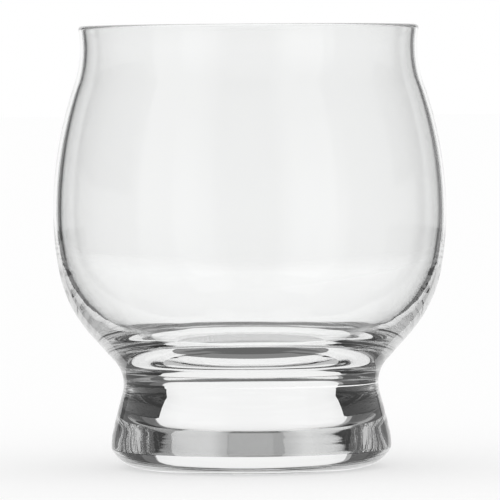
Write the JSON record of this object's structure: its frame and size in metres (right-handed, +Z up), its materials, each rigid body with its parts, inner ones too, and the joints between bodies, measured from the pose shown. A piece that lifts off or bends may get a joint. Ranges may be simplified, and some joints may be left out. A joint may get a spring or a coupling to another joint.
{
  "type": "footed rocks glass",
  "caption": "Clear footed rocks glass: wide round bowl with a flared lip and a thick floor, narrow waist and a solid flared foot, for serving spirits and mixed drinks.",
  "frame": {"origin": "middle of the standing ring, on the plane of the table", "axes": "+Z up along the axis of the glass, X and Y level, -Y towards the viewer"},
  "size_m": [0.089, 0.089, 0.1],
  "materials": {
    "clear_glass": "clear, fire-polished, glossy"
  },
  "bodies": {
    "root": {"bowl": "clear_glass", "foot": "clear_glass"}
  },
  "joints": []
}
